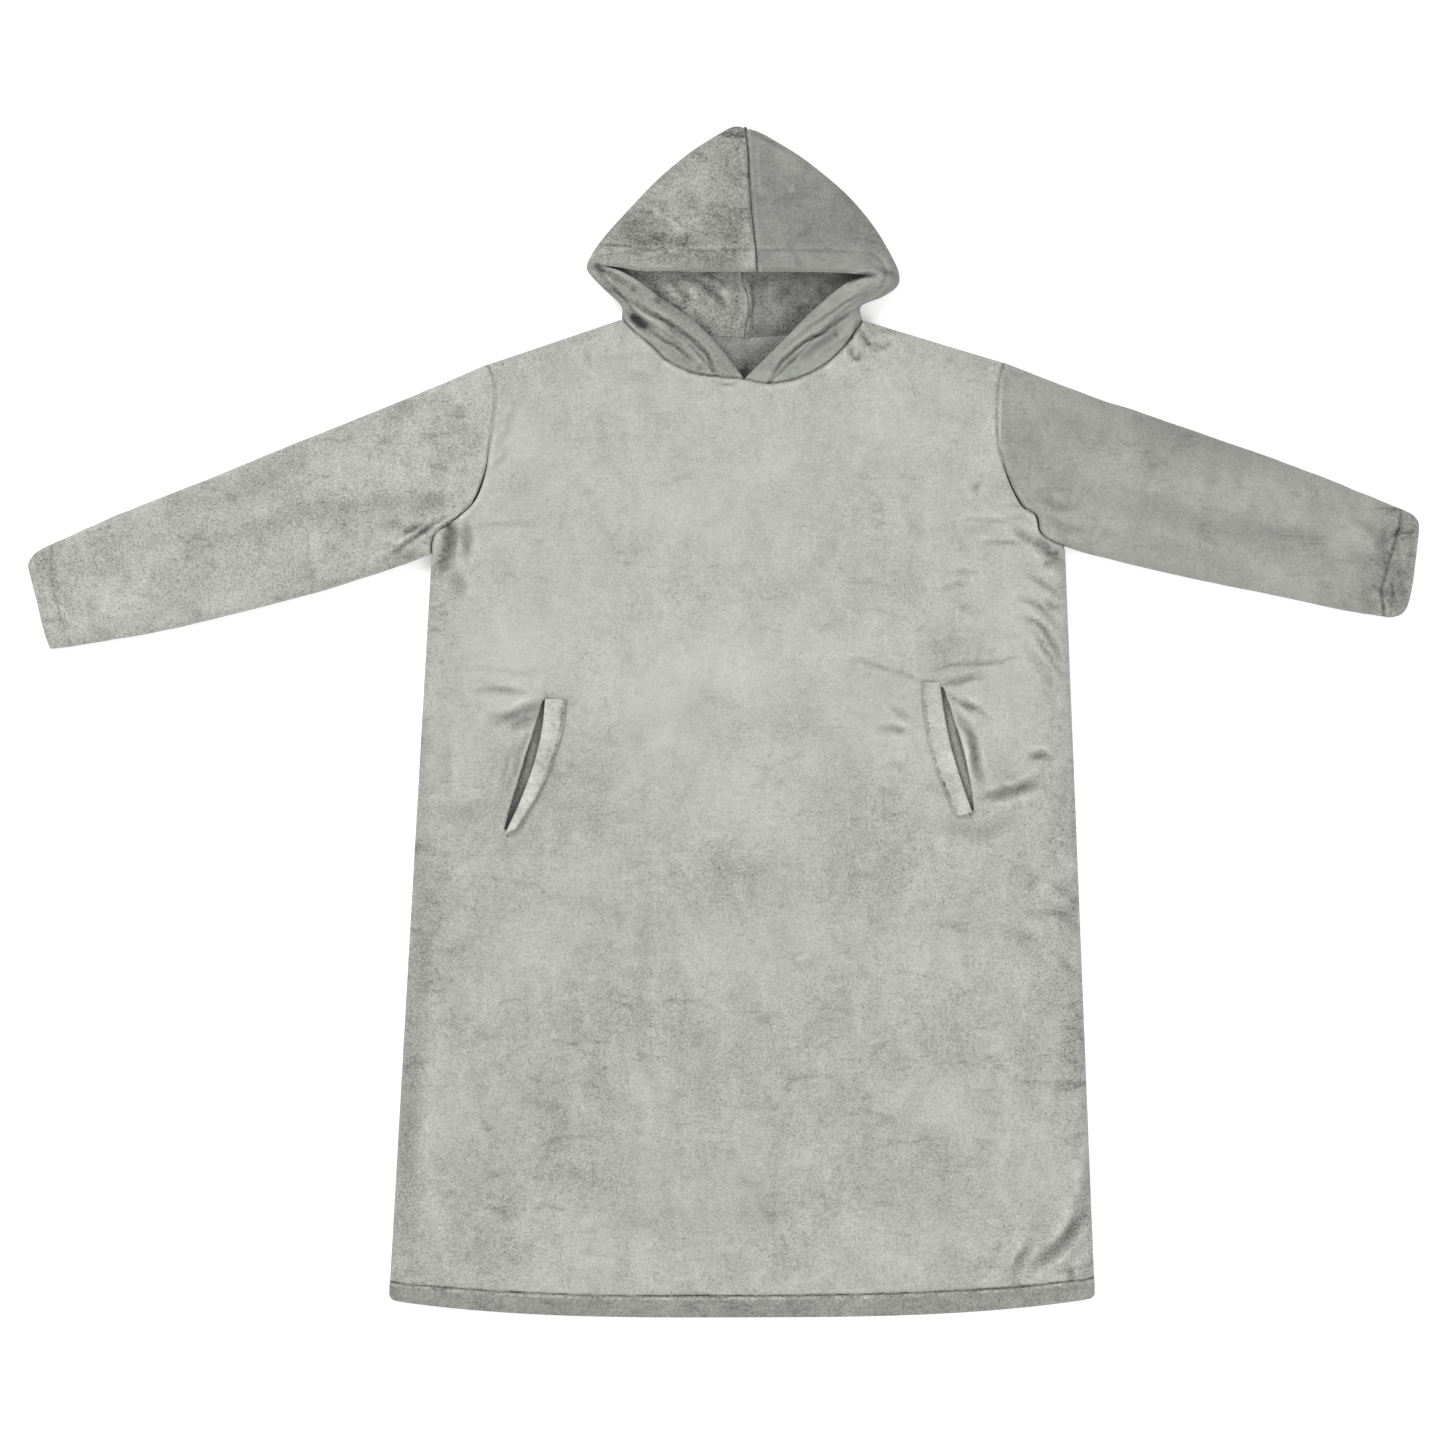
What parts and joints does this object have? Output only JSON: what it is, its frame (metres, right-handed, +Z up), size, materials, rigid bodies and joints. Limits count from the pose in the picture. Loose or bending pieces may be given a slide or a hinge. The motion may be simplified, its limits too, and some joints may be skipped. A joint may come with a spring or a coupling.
{
  "type": "hooded bathrobe",
  "caption": "Hooded pullover bathrobe of plush fleece, laid flat on its back with the sleeves spread, with slit pockets; the sleeves and the hood fold over the front.",
  "frame": {"origin": "on the floor, under the middle of the laid-out robe's bounding box", "axes": "+X towards the wearer's left, along the spread sleeves; +Y from the hem to the hood; +Z up from the floor, out of the robe's front"},
  "size_m": [1.534, 1.314, 0.036],
  "materials": {
    "fleece": "silver-grey plush fleece, brushed pile",
    "hood_fleece": "silver-grey plush fleece, pile brushed the other way",
    "pocket_fleece": "thin grey fleece lining",
    "overlock_thread": "overlocked edge in grey thread"
  },
  "bodies": {
    "robe_body": {"front_panel": "fleece", "back_panel": "fleece", "front_hem": "fleece", "back_hem": "fleece", "right_side_seam": "overlock_thread", "left_side_seam": "overlock_thread", "right_shoulder_seam": "overlock_thread", "left_shoulder_seam": "overlock_thread", "neck_seam": "overlock_thread", "right_armhole_seam": "overlock_thread", "left_armhole_seam": "overlock_thread", "right_sleeve_cap": "fleece", "left_sleeve_cap": "fleece", "right_pocket_welt": "fleece", "left_pocket_welt": "fleece", "right_pocket_front_bag": "pocket_fleece", "left_pocket_front_bag": "pocket_fleece", "right_pocket_back_bag": "pocket_fleece", "left_pocket_back_bag": "pocket_fleece", "right_pocket_bag_seam": "overlock_thread", "left_pocket_bag_seam": "overlock_thread", "hood_right_collar": "hood_fleece", "hood_left_collar": "hood_fleece"},
    "right_arm": {"right_sleeve": "fleece", "right_cuff_hem": "fleece", "right_underarm_seam": "overlock_thread"},
    "left_arm": {"left_sleeve": "fleece", "left_cuff_hem": "fleece", "left_underarm_seam": "overlock_thread"},
    "hood": {"hood_right_panel": "hood_fleece", "hood_left_panel": "hood_fleece", "hood_face_hem": "hood_fleece", "hood_centre_seam": "overlock_thread"}
  },
  "joints": [
    {"name": "right_sleeve_fold", "type": "hinge", "parent": "robe_body", "child": "right_arm", "pos_m": [-0.3205, 0.2785, 0.03], "axis": [0.2944, 0.9557, 0], "range_deg": [0, 179]},
    {"name": "left_sleeve_fold", "type": "hinge", "parent": "robe_body", "child": "left_arm", "pos_m": [0.3745, 0.2855, 0.03], "axis": [0.3247, -0.9458, 0], "range_deg": [0, 179]},
    {"name": "hood_fold", "type": "hinge", "parent": "robe_body", "child": "hood", "pos_m": [0.0225, 0.466, 0.037], "axis": [1, 0, 0], "range_deg": [0, 179]}
  ]
}
